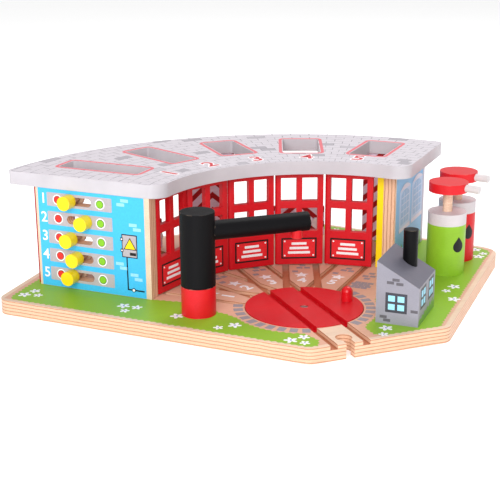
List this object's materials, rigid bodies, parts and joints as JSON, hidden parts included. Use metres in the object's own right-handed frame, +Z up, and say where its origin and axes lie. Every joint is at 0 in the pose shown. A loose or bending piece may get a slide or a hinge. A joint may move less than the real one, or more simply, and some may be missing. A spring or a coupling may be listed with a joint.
{
  "type": "toy railway roundhouse with turntable",
  "caption": "Wooden toy railway roundhouse: turntable board, engine stalls with doors under a curved roof, lever wall, water crane, fuel pumps and small house.",
  "frame": {"origin": "turntable axis on the underside of the track board", "axes": "+Z up, +Y from the entry track through the turntable to the middle stall, +X to the right along the board's longest extent"},
  "size_m": [0.4339, 0.3093, 0.1059],
  "materials": {
    "board_ply": "clear-lacquered plywood with a printed top",
    "turntable_red": "satin paint",
    "steel": "plated",
    "peg_red": "gloss paint",
    "left_wall_blue": "printed satin paint on plywood",
    "right_wall_blue": "printed satin paint on plywood",
    "yellow_paint": "gloss paint",
    "roof_grey": "printed satin paint on plywood",
    "door_red": "printed satin paint",
    "dowel_wood": "bare turned wood",
    "panel_stripes": "printed stripes on plywood",
    "buffer_white": "satin paint",
    "crane_red": "gloss paint",
    "crane_black": "satin paint",
    "tank_green": "satin paint",
    "tank_red": "satin paint",
    "cap_grey": "satin paint",
    "disc_red": "gloss paint",
    "handle_grey": "satin paint",
    "house_grey": "printed satin paint"
  },
  "bodies": {
    "base": {"board": "board_ply", "turntable_screw": "steel", "left_wall": "left_wall_blue", "right_wall": "right_wall_blue", "door_post": "yellow_paint", "roof": "roof_grey", "door_pin_1": "steel", "door_pin_2": "steel", "door_pin_3": "steel", "door_pin_4": "steel", "door_pin_5": "steel", "back_panel_1": "panel_stripes", "back_panel_3": "panel_stripes", "back_panel_5": "panel_stripes", "buffer_stop_2": "panel_stripes", "buffer_left_2": "buffer_white", "buffer_right_2": "buffer_white", "buffer_stop_4": "panel_stripes", "buffer_left_4": "buffer_white", "buffer_right_4": "buffer_white", "crane_base": "crane_red", "crane_pivot": "dowel_wood", "green_tank": "tank_green", "green_tank_cap": "cap_grey", "green_pump_dowel": "dowel_wood", "red_tank": "tank_red", "red_tank_cap": "cap_grey", "red_pump_dowel": "dowel_wood", "house": "house_grey", "house_chimney": "crane_black"},
    "turntable": {"turntable": "turntable_red", "turntable_peg": "peg_red"},
    "crane": {"crane_column": "crane_black", "crane_arm": "crane_black", "crane_nozzle": "peg_red"},
    "green_pump": {"green_pump_disc": "disc_red", "green_pump_handle": "handle_grey"},
    "red_pump": {"red_pump_disc": "disc_red", "red_pump_handle": "handle_grey"},
    "door_1": {"door_1": "door_red"},
    "door_2": {"door_2": "door_red"},
    "door_3": {"door_3": "door_red"},
    "door_4": {"door_4": "door_red"},
    "door_5": {"door_5": "door_red"},
    "lever_1": {"lever_knob_1": "yellow_paint", "lever_shaft_1": "dowel_wood", "lever_cap_1": "dowel_wood"},
    "lever_2": {"lever_knob_2": "yellow_paint", "lever_shaft_2": "dowel_wood", "lever_cap_2": "dowel_wood"},
    "lever_3": {"lever_knob_3": "yellow_paint", "lever_shaft_3": "dowel_wood", "lever_cap_3": "dowel_wood"},
    "lever_4": {"lever_knob_4": "yellow_paint", "lever_shaft_4": "dowel_wood", "lever_cap_4": "dowel_wood"},
    "lever_5": {"lever_knob_5": "yellow_paint", "lever_shaft_5": "dowel_wood", "lever_cap_5": "dowel_wood"}
  },
  "joints": [
    {"name": "turntable_spin", "type": "hinge", "parent": "base", "child": "turntable", "pos_m": [0, 0, 0.012], "axis": [0, 0, 1], "continuous": true},
    {"name": "crane_swivel", "type": "hinge", "parent": "base", "child": "crane", "pos_m": [-0.0805, 0.0173, 0.035], "axis": [0, 0, 1], "range_deg": [-180, 40]},
    {"name": "green_pump_turn", "type": "hinge", "parent": "base", "child": "green_pump", "pos_m": [0.1474, 0.0367, 0.0823], "axis": [0, 0, 1], "range_deg": [-35, 40]},
    {"name": "red_pump_turn", "type": "hinge", "parent": "base", "child": "red_pump", "pos_m": [0.1759, 0.0673, 0.0823], "axis": [0, 0, 1], "range_deg": [-20, 60]},
    {"name": "door_1_hinge", "type": "hinge", "parent": "base", "child": "door_1", "pos_m": [-0.09678, 0.07079, 0.0128], "axis": [0, 0, 1], "range_deg": [0, 90]},
    {"name": "door_2_hinge", "type": "hinge", "parent": "base", "child": "door_2", "pos_m": [-0.06144, 0.09515, 0.0128], "axis": [0, 0, 1], "range_deg": [0, 90]},
    {"name": "door_3_hinge", "type": "hinge", "parent": "base", "child": "door_3", "pos_m": [-0.0203, 0.1074, 0.0128], "axis": [0, 0, 1], "range_deg": [0, 90]},
    {"name": "door_4_hinge", "type": "hinge", "parent": "base", "child": "door_4", "pos_m": [0.02261, 0.10634, 0.0128], "axis": [0, 0, 1], "range_deg": [0, 90]},
    {"name": "door_5_hinge", "type": "hinge", "parent": "base", "child": "door_5", "pos_m": [0.0631, 0.09206, 0.0128], "axis": [0, 0, 1], "range_deg": [0, 90]},
    {"name": "lever_1_slide", "type": "slide", "parent": "base", "child": "lever_1", "axis": [0.7071, -0.7071, 0], "range_m": [0, 0.0163]},
    {"name": "lever_2_slide", "type": "slide", "parent": "base", "child": "lever_2", "axis": [0.7071, -0.7071, 0], "range_m": [-0.0143, 0.002]},
    {"name": "lever_3_slide", "type": "slide", "parent": "base", "child": "lever_3", "axis": [0.7071, -0.7071, 0], "range_m": [0, 0.0163]},
    {"name": "lever_4_slide", "type": "slide", "parent": "base", "child": "lever_4", "axis": [0.7071, -0.7071, 0], "range_m": [-0.005, 0.0113]},
    {"name": "lever_5_slide", "type": "slide", "parent": "base", "child": "lever_5", "axis": [0.7071, -0.7071, 0], "range_m": [0, 0.0163]}
  ]
}
